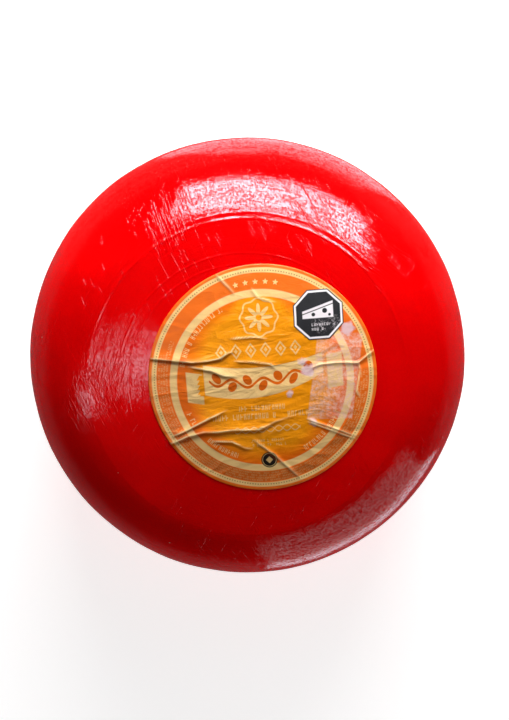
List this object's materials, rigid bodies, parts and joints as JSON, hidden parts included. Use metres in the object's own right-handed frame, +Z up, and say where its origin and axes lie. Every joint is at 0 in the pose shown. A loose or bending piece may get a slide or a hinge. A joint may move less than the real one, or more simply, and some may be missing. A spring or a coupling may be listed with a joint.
{
  "type": "wax-coated cheese wheel",
  "caption": "Low round wheel of cheese with a bulging side in glossy red wax, a round printed paper label off centre on its domed face, and a small octagonal sticker.",
  "frame": {"origin": "centre of the flat that the wheel rests on", "axes": "+Z up, out of the labelled face; +Y towards the top of the label; +X to the label's right"},
  "size_m": [0.24, 0.2438, 0.1157],
  "materials": {
    "red_wax": "smooth glossy coat of red cheese wax with fine rubbed scratches",
    "label_paper": "thin satin-coated label paper, printed in orange and cream, creased where it was laid over the dome",
    "sticker_film": "thin near-black adhesive film with a white border line"
  },
  "bodies": {
    "root": {"waxed_cheese_wheel": "red_wax", "paper_label": "label_paper", "octagonal_sticker": "sticker_film"}
  },
  "joints": []
}
